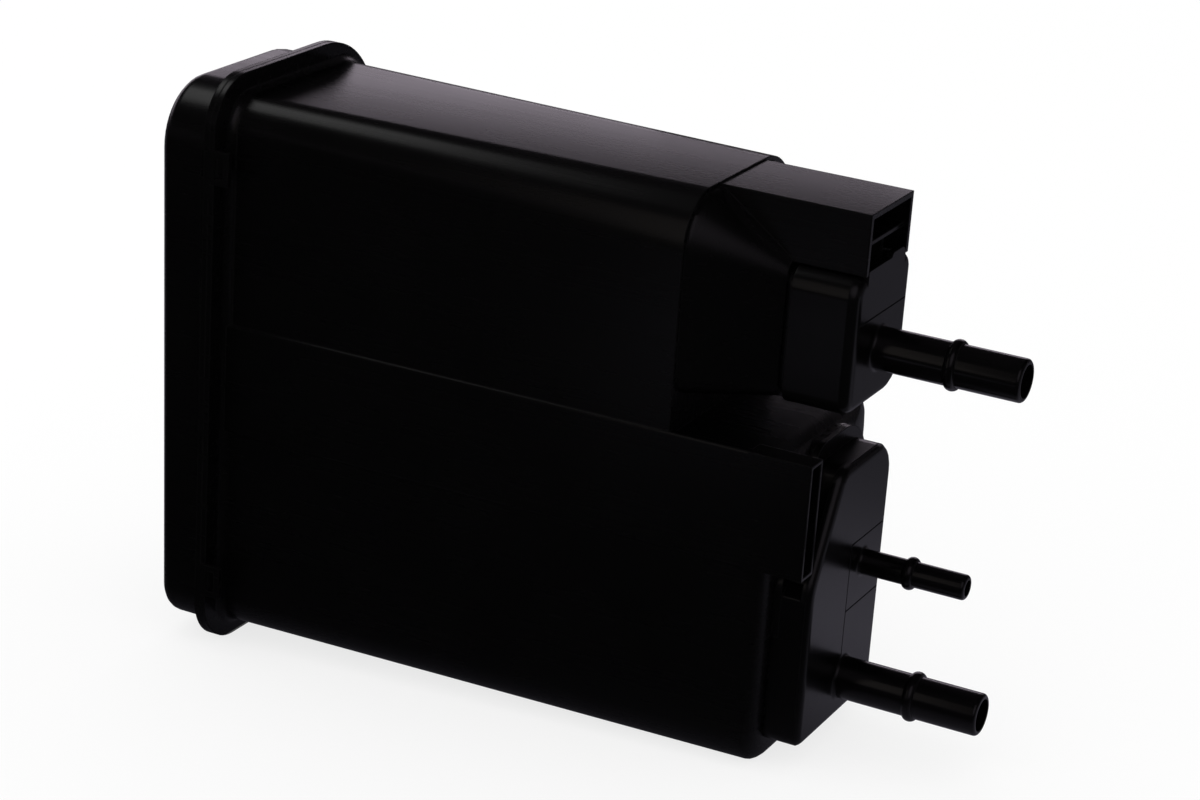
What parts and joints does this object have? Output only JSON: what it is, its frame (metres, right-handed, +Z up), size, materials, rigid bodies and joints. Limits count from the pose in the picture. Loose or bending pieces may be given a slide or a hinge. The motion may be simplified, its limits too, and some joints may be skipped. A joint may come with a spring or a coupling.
{
  "type": "charcoal canister",
  "caption": "Black moulded charcoal canister for fuel tank venting, with hose tubes at one end and carbon beds, felts, retainer plates and springs inside.",
  "frame": {"origin": "on the level of the flange's lower edge, below the middle of the overall length and width", "axes": "+X from the end cover towards the hose tubes, +Y from the pocket side to the rear, +Z up"},
  "size_m": [0.3258, 0.1116, 0.226],
  "materials": {
    "black_nylon": "moulded black nylon, satin, with faint flow streaks along the length",
    "carbon": "pelletised activated carbon, dull black",
    "felt": "white polyester felt",
    "foam": "grey open-cell foam",
    "retainer_plastic": "moulded natural nylon",
    "spring_steel": "drawn spring wire"
  },
  "bodies": {
    "root": {"canister_body": "black_nylon", "end_cover": "black_nylon", "vent_port_cover": "black_nylon", "fuel_port_cover": "black_nylon", "vent_carbon_bed": "carbon", "fuel_carbon_bed": "carbon", "vent_port_felt": "felt", "tank_port_felt": "felt", "purge_port_felt": "felt", "vent_foam_pad": "foam", "fuel_foam_pad": "foam", "vent_retainer_plate": "retainer_plastic", "fuel_retainer_plate": "retainer_plastic", "vent_spring_front": "spring_steel", "vent_spring_rear": "spring_steel", "fuel_spring_front": "spring_steel", "fuel_spring_rear": "spring_steel"}
  },
  "joints": []
}
